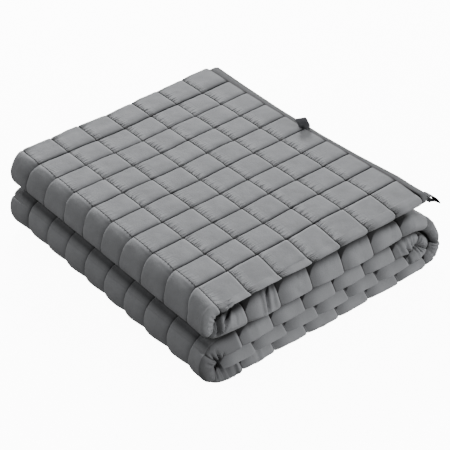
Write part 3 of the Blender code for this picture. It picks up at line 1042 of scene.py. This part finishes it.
    def build(self) -> Skin:
        """Puts the stretches' rings together and sews each to the next.

        The ring where a stretch that shows a cover meets one that shows none belongs to the first.

        Returns:
            The whole quilt but its hem on top, with both ends of the strip closed.
        """
        skin = Skin()
        previous = None
        for number, stretch in enumerate(STRETCHES):
            one = crowded(stretch.per_line, self.crowding)
            lines = np.concatenate([line + one for line in range(int(stretch.start), int(stretch.end))])
            follows = STRETCHES[number + 1] if number + 1 < len(STRETCHES) else None
            if follows is None or (stretch.shown and follows.shown is None):
                lines = np.append(lines, float(stretch.end))
            if number and STRETCHES[number - 1].shown and stretch.shown is None:
                lines = lines[1:]
            points, around = self.ring_points(lines, stretch.shown)
            rings = Rings(skin.add_grid(points, lines, around), lines, around, stretch.shown)
            for key, values in self.seam_distances(lines, around[:-1]).items():
                skin.add_values(key, values)
            to_line = (1 - (lines[:, None] - np.floor(lines[:, None]))) * CELL
            pucker = bell(to_line, self.pucker_reach) * np.interp(lines, *PUCKERED)[:, None]
            skin.add_values("pucker", pucker * np.ones((1, len(around) - 1)))
            # Painted shade for the gaps between layers, their notches and the slit beside the hem.
            skin.add_values("gap", self.painted_gap_shade(lines, around[:-1]))
            if previous is None:
                skin.cap(rings.ids[0], flip=False)
            else:
                skin.sew(previous, rings)
            previous = rings
        skin.cap(previous.ids[-1], flip=True)
        return skin


@dataclass
class HemEnd:
    """The hemmed end of the strip on top: one flat band, folded in thirds with the strip.

    It runs along the top from the back to the front, around the front fold and back below, and then
    up and to the front again between the two.
    """

    inner: float = -0.004  # its inner edge, as a line number
    thick: float = 0.0046
    top: float = 0.1314  # heights of its three runs
    low: float = 0.1170
    middle: float = 0.1242
    front: float = -9.85  # where it ends, in squares from the back
    back: float = 0.22
    inset: float = 0.004  # how far the two lower runs stop short of that
    steps: int = 86  # on each run
    turn_steps: int = 16
    around: int = 16
    pitch_around: float = 0.04  # map distance from point to point around it, in squares
    wide_power: float = 0.45  # how square its section is
    tall_power: float = 0.6
    rounding: float = 0.003  # how far from its ends it starts to close
    closed_width: float = 0.4  # share of the width that is left there
    closed_thick: float = 0.02  # share of the thickness that is left there
    same: float = 1e-6  # points on its run that are closer together are one point
    inner_sway: float = 0.35  # share of the swing that its inner edge follows
    # How dark it is on top, how much less on its outer edge, how much more on its inner edge, and where
    # both edges start, as a share of half the width and a share of it that they take to set in.
    # These darken the band through the values that carry the painted gap shade, and on its inner edge that
    # is painted shade of the groove against the body.
    shade: float = 0.20
    outer_shade: float = 0.08
    inner_shade: float = 0.75
    edge_from: float = 0.5
    edge_blur: float = 0.4

    def run(self) -> tuple[Array, Array, Array]:
        """The band's middle line.

        The parts are the top run, a big half turn at the front, the lower run, a small half turn at the
        back, and the middle run, each turn as a circle's sine and cosine.

        Returns:
            y, z, and the direction out of the band's face as (y, z), along the run.
        """
        front, back = self.front * CELL, self.back * CELL
        near_back, near_front = back - self.inset, front + self.inset
        big, small = (self.top - self.low) / 2, (self.middle - self.low) / 2
        half_turn = np.linspace(0, math.pi, self.turn_steps)[1:-1]
        sine, cosine = np.sin(half_turn), np.cos(half_turn)
        along = np.linspace(0, 1, self.steps)
        level = np.ones_like(along)
        top = np.stack([back + (front - back) * along, self.top * level], axis=-1)
        turn = np.stack([front - big * sine, self.low + big + big * cosine], axis=-1)
        lower = np.stack([front + (near_back - front) * along, self.low * level], axis=-1)
        curl = np.stack([near_back + small * sine, self.low + small - small * cosine], axis=-1)
        last = np.stack([near_back + (near_front - near_back) * along, self.middle * level], axis=-1)
        run = np.concatenate([top, turn, lower, curl, last])
        run = run[np.append(True, np.linalg.norm(np.diff(run, axis=0), axis=1) > self.same)]
        ahead = np.gradient(run, axis=0)
        ahead /= np.linalg.norm(ahead, axis=1, keepdims=True)
        out = np.stack([ahead[:, 1], -ahead[:, 0]], axis=-1)
        return run[:, 0], run[:, 1], out

    def add_to(self, skin: Skin, spread: Spread) -> None:
        """Adds the band as a flattened tube: a rounded slab's section carried along the run.

        The section is (sign(cos a) |cos a|^p, sign(sin a) |sin a|^q), which closes at both ends.

        Args:
            skin: what it is added to.
            spread: says how far it swings out.
        """
        y, z, out = self.run()
        angle = 2 * math.pi * np.arange(self.around) / self.around
        wide = np.sign(np.cos(angle)) * np.abs(np.cos(angle)) ** self.wide_power
        tall = np.sign(np.sin(angle)) * np.abs(np.sin(angle)) ** self.tall_power
        length = np.cumsum(np.append(0, np.hypot(np.diff(y), np.diff(z))))
        ends = np.minimum(length, length[-1] - length)
        close = np.sqrt(np.clip(ends / self.rounding, self.closed_thick**2, 1))[:, None]
        x_inner, x_outer = -self.inner * CELL, -HEM_OUTER * CELL
        centre, half_width = (x_inner + x_outer) / 2, (x_outer - x_inner) / 2
        sway = spread.sway(np.full(len(y), HEM_OUTER), y[:, None])
        sway = sway * (self.inner_sway + (1 - self.inner_sway) * (wide + 1) / 2)
        narrowed = self.closed_width + (1 - self.closed_width) * close
        x = centre + half_width * wide[None, :] * narrowed + sway
        half_thick = self.thick / 2 * tall[None, :] * close
        points = np.stack(
            [x, y[:, None] + out[:, :1] * half_thick, z[:, None] + out[:, 1:] * half_thick], axis=-1
        )
        around = np.arange(self.around + 1) * self.pitch_around
        ids = skin.add_grid(points[:, ::-1], length / CELL, around)
        skin.cap(ids[0], flip=False)
        skin.cap(ids[-1], flip=True)
        flat = np.ones((len(y), self.around))
        # How far each point is from the stitches along the middle of both faces, and 1 m off them.
        on_face = np.abs(tall) >= 0.5
        from_middle = np.abs(wide) * half_width + np.where(on_face, 0.0, 1.0)
        outer_edge, inner_edge = (
            smooth((side * wide - self.edge_from) / self.edge_blur) for side in (1, -1)
        )
        gap = self.shade - self.outer_shade * outer_edge + self.inner_shade * inner_edge
        for key, values in {
            "past": flat,
            "seam_across": flat,
            "seam_along": flat,
            "stitch": flat * from_middle,
            "place": flat * NO_PLACE,
            "pucker": flat * 0,
            "gap": flat * gap,
        }.items():
            skin.add_values(key, values[:, ::-1])


@dataclass(frozen=True)
class LoopShape:
    """A ribbon loop, both of whose ends are sewn to one face of the hem."""

    name: str
    node: str
    foot: Triple  # x and y in squares, z in metres
    out: Triple  # the way out of the hem's face
    aside: Triple  # the way from one end to the other
    tip: Triple  # from the foot, in metres
    spread: float  # half the distance between its two runs
    waist: float  # share of that at its foot
    twist: float  # in degrees


LOOPS = (
    LoopShape(
        name="edge_ribbon",
        node="ribbon_loop_edge",
        foot=(-0.03, -4.95, 0.1346),
        out=(0, 0, 1),
        aside=(1, 0, 0),
        tip=(-0.0078, 0, 0.0205),
        spread=0.0065,
        waist=0.35,
        twist=62.0,
    ),
    LoopShape(
        name="corner_ribbon",
        node="ribbon_loop_corner",
        foot=(0.2264, -9.93, 0.1235),
        out=(1, 0, 0),
        aside=(0, 0, 1),
        tip=(0.0213, 0, -0.0157),
        spread=0.0042,
        waist=1.0,
        twist=0.0,
    ),
)


@dataclass
class RibbonLoop:
    """Builds a ribbon loop as a sheet that is carried along its path."""

    shape: LoopShape
    width: float = 0.017
    thickness: float = 0.0009
    gap: float = 0.0003  # between it and the hem
    twist_rate: float = 2.5  # how soon it is twisted all the way
    steps: int = 64
    across: int = 10

    def build(self) -> tuple[bpy.types.Object, float]:
        """Makes the ribbon as a single sheet with a live thickness.

        At angle a from 0 to pi, its middle rises by sin(a), leans towards the tip by sin(a)^2, goes
        sideways by -cos(a), and twists by a smooth share of sin(a).

        Returns:
            The mesh object, and the length of the ribbon's middle line in metres.
        """
        shape = self.shape
        angle = math.pi * np.arange(self.steps + 1) / self.steps
        up = np.sin(angle)
        sideways = -shape.spread * np.cos(angle) * (shape.waist + (1 - shape.waist) * up)
        twist = math.radians(shape.twist) * smooth(self.twist_rate * up)
        width_way = np.array([0.0, 1.0, 0.0])
        aside, out, tip = (np.array(way, float) for way in (shape.aside, shape.out, shape.tip))
        away = out * (tip @ out)
        foot = np.array([shape.foot[0] * CELL, shape.foot[1] * CELL, shape.foot[2]]) + self.gap * out
        across = aside * np.cos(twist)[:, None] + width_way * np.sin(twist)[:, None]
        ribbon_way = width_way * np.cos(twist)[:, None] - aside * np.sin(twist)[:, None]
        centre = foot + up[:, None] * away + up[:, None] ** 2 * (tip - away) + across * sideways[:, None]
        share = np.linspace(-0.5, 0.5, self.across + 1) * self.width
        points = centre[:, None, :] + ribbon_way[:, None, :] * share[None, :, None]
        points -= np.array([*MIDDLE, 0.0])
        rows, columns = points.shape[:2]
        ids = np.arange(rows * columns).reshape(rows, columns)
        quads = np.stack([ids[:-1, :-1], ids[:-1, 1:], ids[1:, 1:], ids[1:, :-1]], axis=-1)
        mesh = bpy.data.meshes.new(shape.name)
        mesh.from_pydata(points.reshape(-1, 3), [], quads.reshape(-1, 4).tolist())
        mesh.polygons.foreach_set("use_smooth", np.ones(len(mesh.polygons), dtype=bool))
        steps = np.linalg.norm(np.diff(centre, axis=0), axis=1)
        run = np.cumsum(np.append(0, steps))
        cloth = mesh.uv_layers.new(name="cloth")
        corner = np.stack(np.broadcast_arrays(run[:, None], share[None, :]), axis=-1).reshape(-1, 2)
        numbers = np.zeros(len(mesh.loops), dtype=int)
        mesh.loops.foreach_get("vertex_index", numbers)
        cloth.data.foreach_set("uv", corner[numbers].ravel())
        ribbon = linked(shape.name, mesh)
        thick = ribbon.modifiers.new("thickness", "SOLIDIFY")
        thick.thickness = self.thickness
        thick.offset = 0
        return ribbon, float(steps.sum())


MOST_NOISE = (0.3, 0.7)  # the range in which most of a noise's values lie


class Nodes:
    """Short ways to add and join the nodes of one material."""

    def __init__(self, name: str) -> None:
        """Makes the material and keeps its shader.

        Args:
            name: the material's name.
        """
        self.material = bpy.data.materials.new(name)
        self.material.use_nodes = True
        self.tree = self.material.node_tree
        self.shader = self.tree.nodes["Principled BSDF"]

    def add(self, kind: str, **settings: object) -> bpy.types.Node:
        """Adds a node.

        Args:
            kind: its Blender type.
            settings: its own properties.

        Returns:
            The node.
        """
        node = self.tree.nodes.new(kind)
        for key, value in settings.items():
            setattr(node, key, value)
        return node

    def feed(self, node: bpy.types.Node, socket: str | int, source: object) -> None:
        """Gives a socket a value or another node's output.

        Args:
            node: the node that has the socket.
            socket: the socket's name or place.
            source: the value or output.
        """
        if isinstance(source, Socket):
            self.tree.links.new(source, node.inputs[socket])
        else:
            node.inputs[socket].default_value = source

    def fed(self, node: bpy.types.Node, *sources: object) -> Socket:
        """Feeds a node's first sockets.

        Args:
            node: the node.
            sources: values or outputs, in the sockets' order.

        Returns:
            The node's first output.
        """
        for place, source in enumerate(sources):
            self.feed(node, place, source)
        return node.outputs[0]

    def read(self, attribute: str) -> Socket:
        """One of the piece's own values."""
        return self.add("ShaderNodeAttribute", attribute_name=attribute).outputs["Fac"]

    def cloth_map(self) -> tuple[Socket, Socket, Socket]:
        """Reads the piece's own map of the cloth, which is in metres.

        Returns:
            Both coordinates together, the one along the cloth, and the one across it.
        """
        cloth = self.add("ShaderNodeUVMap", uv_map="cloth").outputs[0]
        parts = self.add("ShaderNodeSeparateXYZ")
        self.feed(parts, 0, cloth)
        return cloth, parts.outputs[0], parts.outputs[1]

    def maths(self, operation: str, *sources: object) -> Socket:
        """The result of a sum, product or the like of up to three sources."""
        return self.fed(self.add("ShaderNodeMath", operation=operation), *sources)

    def times(self, first: object, *others: object) -> Socket:
        """Multiplies any number of sources.

        Args:
            first: the first value or output.
            others: all the others.

        Returns:
            The product.
        """
        for other in others:
            first = self.maths("MULTIPLY", first, other)
        return first

    def wave(self, source: object, pitch: float) -> Socket:
        """A sine from -1 to 1 that repeats after each pitch."""
        return self.maths("SINE", self.times(source, 2 * math.pi / pitch))

    def mixed(self, share: object, low: object, high: object) -> Socket:
        """Low where the share is 0 and high where it is 1: s (high - low) + low."""
        return self.maths("MULTIPLY_ADD", share, self.maths("SUBTRACT", high, low), low)

    def noise(self, source: object, scale: float, detail: float, roughness: float = 0.5) -> Socket:
        """Noise from 0 to 1.

        Args:
            source: the coordinates.
            scale: its steps to a metre.
            detail: how many finer layers it has.
            roughness: how strong each of those is beside the one before.

        Returns:
            The noise.
        """
        node = self.add("ShaderNodeTexNoise")
        self.feed(node, "Vector", source)
        self.feed(node, "Scale", scale)
        self.feed(node, "Detail", detail)
        self.feed(node, "Roughness", roughness)
        return node.outputs["Fac"]

    def stretched(self, source: object, scale: Triple) -> Socket:
        """Coordinates that are scaled differently along each axis.

        Args:
            source: the coordinates.
            scale: along each axis.

        Returns:
            The scaled coordinates.
        """
        node = self.add("ShaderNodeMapping")
        self.feed(node, "Vector", source)
        self.feed(node, "Scale", scale)
        return node.outputs[0]

    def ranged(self, source: object, low: float, high: float, to_low: float, to_high: float) -> Socket:
        """Carries low..high over to another range by s^2 (3 - 2s), and holds it there."""
        node = self.add("ShaderNodeMapRange", interpolation_type="SMOOTHSTEP")
        return self.fed(node, source, low, high, to_low, to_high)

    def dress(self, colour: Triple, shade: Socket, roughness: float, height: Socket | None) -> None:
        """Joins the shader to its colour, roughness and relief.

        Args:
            colour: the plain colour.
            shade: what it is multiplied by.
            roughness: the same all over.
            height: the relief in metres, or None.
        """
        tint = self.add("ShaderNodeVectorMath", operation="SCALE")
        self.feed(tint, 0, colour)
        self.feed(tint, "Scale", shade)
        self.feed(self.shader, "Base Color", tint.outputs[0])
        self.feed(self.shader, "Roughness", roughness)
        if height is not None:
            bump = self.add("ShaderNodeBump")
            self.feed(bump, "Distance", 1.0)
            self.feed(bump, "Strength", 1.0)
            self.feed(bump, "Height", height)
            self.feed(self.shader, "Normal", bump.outputs[0])


@dataclass(frozen=True)
class CottonFinish:
    """Brushed cotton: a fine plain weave, slightly mottled, puckered beside the seams, with painted shade
    and highlights.

    Distances are in metres. A pair of them says where something starts to fade and where it is gone.
    """

    colour: Triple = (0.250, 0.255, 0.265)
    # Shades, by which the colour is multiplied: all but the stitches' are painted shade or painted
    # highlight.
    along_shade: float = 0.12  # painted shade in the seams along the strip
    across_shade: float = 0.92  # painted shade in the seams across it
    fold_shade: float = 0.35  # painted shade in those seams at the folded edges
    tuck_shade: float = 0.55  # painted shade on each square there, towards the seam that it tucks under
    rim_light: float = 1.36  # painted highlight on the rim on a seam's near side
    slope_shade: float = 0.76  # painted shade where the cloth slopes down to a seam
    pucker_shade: float = 0.72  # painted shade in the valleys between puckers
    gap_shade: float = 0.12  # painted shade deep in a gap between layers
    stitch_shade: float = 0.60
    along_width: Pair = (0.0006, 0.0021)
    across_width: Pair = (0.0002, 0.0016)
    rim_light_along: Pair = (0.0016, 0.0050)
    rim_light_across: Pair = (0.0004, 0.0040)
    slope_shade_wide: Pair = (0.0010, 0.0120)
    slope_shade_near: Pair = (0.0010, 0.0045)
    stitch_width: Pair = (0.0007, 0.0020)
    past_covers: Pair = (0.030, 0.036)  # distances from the seams along the strip that only an edge has
    tucked_past: Pair = (0.024, 0.0495)
    far_part: Pair = (0.45, 0.55)  # of a square, from one seam's near side to the next one's far side
    stitch_pitch: float = 0.0062
    stitch_part: Pair = (-0.1, 0.25)  # of its wave, from a gap to a stitch
    valley_part: Pair = (0.40, 0.54)  # of the puckers' noise, from a valley to a ridge
    thread_pitch: float = 0.00055
    weave_height: float = 0.00003
    pucker_steps: Triple = (45.0, 330.0, 1.0)  # to a metre, along and across the strip
    pucker_height: float = 0.0110
    crumple_steps: float = 62.0
    crumple_height: float = 0.0011
    mottle_steps: float = 30.0
    mottle_shades: Pair = (0.93, 1.06)
    heather_steps: Triple = (900.0, 1900.0, 1.0)
    heather_part: Pair = (0.25, 0.75)  # of its noise, from the darkest to the lightest
    heather_shades: Pair = (0.88, 1.11)
    specular: float = 0.2
    roughness: float = 0.9
    sheen: float = 0.12

    def along_shading(self, nodes: Nodes, along: Socket, place: Socket) -> Socket:
        """Paints shade in a seam along the strip, a highlight on its near side and shade on the far side's
        slope.

        Args:
            nodes: the material's nodes.
            along: the distance to the nearest of those seams.
            place: the place across the strip, which is just past a seam on its near side.

        Returns:
            The shade.
        """
        far_side = nodes.ranged(nodes.maths("FRACT", place), *self.far_part, 0.0, 1.0)
        rim_light = nodes.ranged(along, *self.rim_light_along, self.rim_light, 1.0)
        near_slope_shade = nodes.ranged(along, *self.slope_shade_near, self.slope_shade * self.slope_shade, 1.0)
        slope_shade = nodes.times(nodes.ranged(along, *self.slope_shade_wide, self.slope_shade, 1.0), near_slope_shade)
        line = nodes.ranged(along, *self.along_width, self.along_shade, 1.0)
        return nodes.times(line, nodes.mixed(far_side, rim_light, slope_shade))

    def across_shading(self, nodes: Nodes, along: Socket, across: Socket, past: Socket) -> Socket:
        """Paints shade in a seam across the strip, a highlight past it, and shade on a folded edge's tucked
        square.

        Args:
            nodes: the material's nodes.
            along: the distance to the nearest seam along the strip.
            across: the distance to the nearest seam across it.
            past: the distance past the last of those on the +X side.

        Returns:
            The shade.
        """
        rim_light = nodes.ranged(past, *self.rim_light_across, self.rim_light, 1.0)
        in_seam = nodes.ranged(along, *self.past_covers, self.across_shade, self.fold_shade)
        line = nodes.mixed(nodes.ranged(across, *self.across_width, 1.0, 0.0), 1.0, in_seam)
        tuck = nodes.ranged(along, *self.past_covers, 1.0, self.tuck_shade)
        tucked = nodes.mixed(nodes.ranged(past, *self.tucked_past, 0.0, 1.0), 1.0, tuck)
        return nodes.times(line, rim_light, tucked)

    def build(self) -> bpy.types.Material:
        """Makes the material, from the piece's own map and values.

        Returns:
            The material.
        """
        nodes = Nodes("grey_cotton")
        cloth, run, width = nodes.cloth_map()
        solid = nodes.add("ShaderNodeTexCoord").outputs["Object"]
        along, across, past, stitch, place, pucker, gap = (
            nodes.read(key)
            for key in ("seam_along", "seam_across", "past", "stitch", "place", "pucker", "gap")
        )
        threads = nodes.times(nodes.wave(run, self.thread_pitch), nodes.wave(width, self.thread_pitch))
        fine = nodes.noise(nodes.stretched(cloth, self.pucker_steps), 1.0, 0.0)
        crumple = nodes.noise(solid, self.crumple_steps, 3.0, 0.55)
        puckers = nodes.times(fine, pucker, self.pucker_height)
        height = nodes.maths("ADD", puckers, nodes.times(crumple, self.crumple_height))
        height = nodes.maths("ADD", height, nodes.times(threads, self.weave_height))

        mottle = nodes.noise(cloth, self.mottle_steps, 4.0, 0.6)
        mottle = nodes.ranged(mottle, *MOST_NOISE, *self.mottle_shades)
        heather = nodes.noise(nodes.stretched(cloth, self.heather_steps), 1.0, 2.0)
        heather = nodes.ranged(heather, *self.heather_part, *self.heather_shades)
        # painted shade in the valleys between the puckers
        valley = nodes.times(nodes.ranged(fine, *self.valley_part, 1.0, 0.0), pucker)
        dashed = nodes.ranged(nodes.wave(width, self.stitch_pitch), *self.stitch_part, 0.0, 1.0)
        stitched = nodes.times(nodes.ranged(stitch, *self.stitch_width, 1.0, 0.0), dashed)
        # Mottle, heather and stitches are the cloth's own colour; the other factors are painted shade and
        # painted highlight.
        shade = nodes.times(
            mottle,
            heather,
            self.along_shading(nodes, along, place),
            nodes.ranged(gap, 0.0, 1.0, 1.0, self.gap_shade),
            self.across_shading(nodes, along, across, past),
            nodes.ranged(valley, 0.0, 1.0, 1.0, self.pucker_shade),
            nodes.ranged(stitched, 0.0, 1.0, 1.0, self.stitch_shade),
        )
        nodes.dress(self.colour, shade, self.roughness, height)
        nodes.feed(nodes.shader, "Sheen Weight", self.sheen)
        nodes.feed(nodes.shader, "Specular IOR Level", self.specular)
        return nodes.material


@dataclass(frozen=True)
class RibbonFinish:
    """Charcoal satin ribbon with fine cross ribs and a woven edge."""

    colour: Triple = (0.055, 0.057, 0.062)
    rib_pitch: float = 0.0007
    rib_height: float = 0.00004
    half_width: float = 0.0085
    edge: float = 0.0012
    edge_height: float = 0.0001
    edge_light: float = 0.25  # how much lighter the woven edge is
    mottle_steps: Triple = (300.0, 1500.0, 1.0)
    mottle_shades: Pair = (0.85, 1.2)
    roughness: float = 0.5

    def build(self) -> bpy.types.Material:
        """Makes the material, from the ribbon's own map.

        Returns:
            The material.
        """
        nodes = Nodes("charcoal_ribbon")
        cloth, run, width = nodes.cloth_map()
        inner, outer = self.half_width - self.edge, self.half_width - self.edge / 2
        border = nodes.ranged(nodes.maths("ABSOLUTE", width), inner, outer, 0.0, 1.0)
        ribs = nodes.times(nodes.wave(run, self.rib_pitch), self.rib_height)
        height = nodes.maths("ADD", ribs, nodes.times(border, self.edge_height))
        mottle = nodes.noise(nodes.stretched(cloth, self.mottle_steps), 1.0, 2.0)
        mottle = nodes.ranged(mottle, *MOST_NOISE, *self.mottle_shades)
        shade = nodes.times(mottle, nodes.maths("MULTIPLY_ADD", border, self.edge_light, 1.0))
        nodes.dress(self.colour, shade, self.roughness, height)
        return nodes.material


@dataclass(frozen=True)
class FloorFinish:
    """Plain white paper floor with a faint tooth."""

    colour: Triple = (0.90, 0.90, 0.90)
    tooth_steps: float = 60.0
    tooth_shade: float = 0.995
    glow: float = 11.0
    roughness: float = 0.9

    def build(self) -> bpy.types.Material:
        """Makes the material, in which the floor's own glow hides most of the blanket's shadow.

        Returns:
            The material.
        """
        nodes = Nodes("studio_paper")
        solid = nodes.add("ShaderNodeTexCoord").outputs["Object"]
        tooth = nodes.noise(solid, self.tooth_steps, 2.0)
        tooth = nodes.ranged(tooth, *MOST_NOISE, self.tooth_shade, 1.0)
        nodes.dress(self.colour, tooth, self.roughness, None)
        nodes.feed(nodes.shader, "Emission Color", (1.0, 1.0, 1.0, 1.0))
        nodes.feed(nodes.shader, "Emission Strength", self.glow)
        return nodes.material


@dataclass(frozen=True)
class SoftBox:
    """A square area light that looks at a point."""

    name: str
    place: Triple
    aim: Triple
    size: float
    power: float

    def build(self) -> None:
        """Adds the light."""
        lamp = bpy.data.lights.new(self.name, "AREA")
        lamp.size = self.size
        lamp.energy = self.power
        ahead = np.array(self.aim) - np.array(self.place)
        ahead /= np.linalg.norm(ahead)
        linked(self.name, lamp).matrix_world = looking(np.array(self.place), ahead, 0.0)


def looking(place: Array, ahead: Array, roll: float) -> Matrix:
    """Where something stands and which way it looks.

    Right is ahead x up, down is ahead x right, and both are turned by the roll's cosine and sine.

    Args:
        place: where it stands.
        ahead: the way it looks, of length 1.
        roll: its turn about that way, in radians.

    Returns:
        The matrix, with -Z ahead and +Y up in view.
    """
    right = np.cross(ahead, [0.0, 0.0, 1.0])
    right /= np.linalg.norm(right)
    down = np.cross(ahead, right)
    cosine, sine = math.cos(roll), math.sin(roll)
    matrix = np.eye(4)
    matrix[:3, 0] = cosine * right + sine * down
    matrix[:3, 1] = -(cosine * down - sine * right)
    matrix[:3, 2] = -ahead
    matrix[:3, 3] = place
    return Matrix(matrix.tolist())


@dataclass
class Studio:
    """Floor, lights and camera."""

    azimuth: float = -32.70119
    elevation: float = 35.04927
    roll: float = 6.48700
    lens: float = 109.36745
    sensor: float = 36.0
    camera_at: Triple = (-0.909837, -1.438890, 1.229817)
    floor_size: float = 12.0
    sky_towards: Triple = (0.30, 0.35, 0.89)
    sky_from: float = -0.35  # cosine of the angle to that direction at which the sky begins to brighten
    sky_low: float = 0.15  # its strength away from that direction
    sky_high: float = 0.74
    boxes: tuple[SoftBox, ...] = (
        SoftBox("key_light", (1.3, 2.2, 1.6), (0.0, 0.0, 0.08), 0.7, 92.0),
        SoftBox("fill_light", (1.0, -2.8, 0.85), (0.0, 0.0, 0.05), 0.8, 68.0),
        SoftBox("side_light", (-2.2, 0.7, 1.7), (0.0, 0.0, 0.08), 0.8, 9.0),
    )

    def build(self) -> None:
        """Makes the floor, the lights and the camera."""
        half = self.floor_size / 2
        corners = [(-half, -half, 0), (half, -half, 0), (half, half, 0), (-half, half, 0)]
        mesh = bpy.data.meshes.new("studio_floor")
        mesh.from_pydata(corners, [], [(0, 1, 2, 3)])
        mesh.materials.append(FloorFinish().build())
        floor = linked("studio_floor", mesh)
        floor.visible_diffuse = False
        floor.visible_glossy = False
        bpy.context.scene.world = self.sky()
        for box in self.boxes:
            box.build()
        lens = bpy.data.cameras.new("photo_camera")
        lens.lens = self.lens
        lens.sensor_width = self.sensor
        camera = linked("photo_camera", lens)
        turn, rise_up = math.radians(self.azimuth), math.radians(self.elevation)
        level = math.cos(rise_up)
        back = np.array([math.sin(turn) * level, -math.cos(turn) * level, math.sin(rise_up)])
        camera.matrix_world = looking(np.array(self.camera_at), -back, math.radians(self.roll))
        bpy.context.scene.camera = camera

    def sky(self) -> bpy.types.World:
        """Makes a sky that is bright above and behind the blanket and dim below.

        Returns:
            The world, whose strength follows the cosine of the angle to the brightest direction.
        """
        world = bpy.data.worlds.new("studio_sky")
        world.use_nodes = True
        tree = world.node_tree
        direction = tree.nodes.new("ShaderNodeTexCoord").outputs["Generated"]
        dot = tree.nodes.new("ShaderNodeVectorMath")
        dot.operation = "DOT_PRODUCT"
        dot.inputs[1].default_value = self.sky_towards
        spread = tree.nodes.new("ShaderNodeMapRange")
        for place, value in enumerate((self.sky_from, 1.0, self.sky_low, self.sky_high), start=1):
            spread.inputs[place].default_value = value
        background = tree.nodes["Background"]
        background.inputs["Color"].default_value = (1.0, 1.0, 1.0, 1.0)
        tree.links.new(direction, dot.inputs[0])
        tree.links.new(dot.outputs["Value"], spread.inputs[0])
        tree.links.new(spread.outputs[0], background.inputs["Strength"])
        return world


def main() -> None:
    """Builds the studio, the quilt and the ribbon loops."""
    logging.basicConfig(level=logging.INFO, format="%(message)s")
    Studio().build()
    shell = QuiltShell()
    skin = shell.build()
    HemEnd().add_to(skin, shell.spread)
    quilt = skin.make("quilted_blanket")
    quilt.data.materials.append(CottonFinish().build())
    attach(quilt, BODY)
    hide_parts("quilt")
    log.info("%s: %d points, %d faces", quilt.name, len(quilt.data.vertices), len(quilt.data.polygons))
    satin = RibbonFinish().build()
    for shape in LOOPS:
        loop = RibbonLoop(shape)
        ribbon, length = loop.build()
        ribbon.data.materials.append(satin)
        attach(ribbon, BODY)
        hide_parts(shape.node)
        log.info("%s: %.1f mm long", ribbon.name, length * 1000)


if __name__ == "__main__":
    main()
